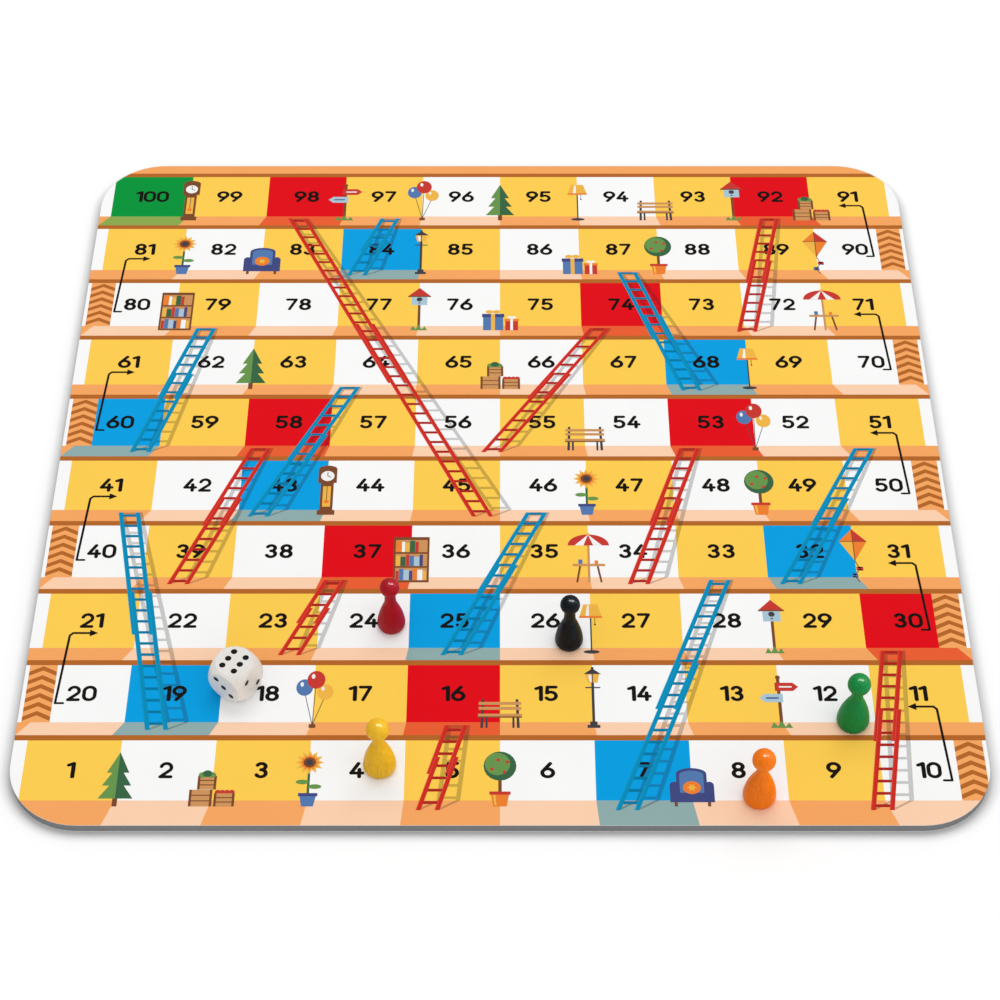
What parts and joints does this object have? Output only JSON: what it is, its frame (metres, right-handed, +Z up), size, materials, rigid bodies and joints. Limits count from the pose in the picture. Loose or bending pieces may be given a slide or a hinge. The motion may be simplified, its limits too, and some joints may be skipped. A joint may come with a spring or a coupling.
{
  "type": "snakes and ladders board",
  "caption": "Flat square board game with rounded corners, printed with a numbered chequered path and ladders, with turned wooden pawns and a die standing on it.",
  "frame": {"origin": "on the table, under the middle of the square board", "axes": "+Z up out of the board, +X along row one from square one to square ten, +Y from row one to row ten"},
  "size_m": [0.36, 0.36, 0.0315],
  "materials": {
    "liner_paper": "uncoated",
    "grey_board": "cut edge of solid grey board",
    "white_paper": "coated, satin varnish",
    "yellow_print": "satin varnish",
    "red_print": "satin varnish",
    "blue_print": "satin varnish",
    "green_print": "satin varnish",
    "orange_print": "satin varnish",
    "peach_print": "satin varnish",
    "coral_print": "satin varnish",
    "teal_print": "satin varnish",
    "olive_print": "satin varnish",
    "brown_print": "satin varnish",
    "black_print": "satin varnish",
    "ladder_blue_print": "satin varnish",
    "ladder_red_print": "satin varnish",
    "red_lacquer": "gloss lacquer",
    "black_lacquer": "gloss lacquer",
    "yellow_lacquer": "gloss lacquer",
    "green_lacquer": "gloss lacquer",
    "orange_lacquer": "gloss lacquer",
    "ivory_plastic": "polished",
    "pip_paint": "satin paint"
  },
  "bodies": {
    "board": {"backing_sheet": "liner_paper", "board_core": "grey_board", "face_sheet": "white_paper", "squares_yellow": "yellow_print", "squares_red": "red_print", "squares_blue": "blue_print", "square_green": "green_print", "floor_orange": "orange_print", "floor_peach": "peach_print", "floor_coral": "coral_print", "floor_teal": "teal_print", "floor_olive": "olive_print", "ledge_lines": "brown_print", "ramp_panels": "orange_print", "ramp_chevrons": "brown_print", "turn_arrows": "black_print", "numbers": "black_print", "ladders_blue": "ladder_blue_print", "ladders_red": "ladder_red_print"},
    "red_pawn": {"pawn_red": "red_lacquer"},
    "black_pawn": {"pawn_black": "black_lacquer"},
    "yellow_pawn": {"pawn_yellow": "yellow_lacquer"},
    "green_pawn": {"pawn_green": "green_lacquer"},
    "orange_pawn": {"pawn_orange": "orange_lacquer"},
    "die": {"die_body": "ivory_plastic", "die_pips": "pip_paint"}
  },
  "joints": [
    {"name": "red_pawn_lift", "type": "slide", "parent": "board", "child": "red_pawn", "axis": [0, 0, 1], "range_m": [0, 0.04]},
    {"name": "black_pawn_lift", "type": "slide", "parent": "board", "child": "black_pawn", "axis": [0, 0, 1], "range_m": [0, 0.04]},
    {"name": "yellow_pawn_lift", "type": "slide", "parent": "board", "child": "yellow_pawn", "axis": [0, 0, 1], "range_m": [0, 0.04]},
    {"name": "green_pawn_lift", "type": "slide", "parent": "board", "child": "green_pawn", "axis": [0, 0, 1], "range_m": [0, 0.04]},
    {"name": "orange_pawn_lift", "type": "slide", "parent": "board", "child": "orange_pawn", "axis": [0, 0, 1], "range_m": [0, 0.04]},
    {"name": "die_lift", "type": "slide", "parent": "board", "child": "die", "axis": [0, 0, 1], "range_m": [0, 0.04]}
  ]
}
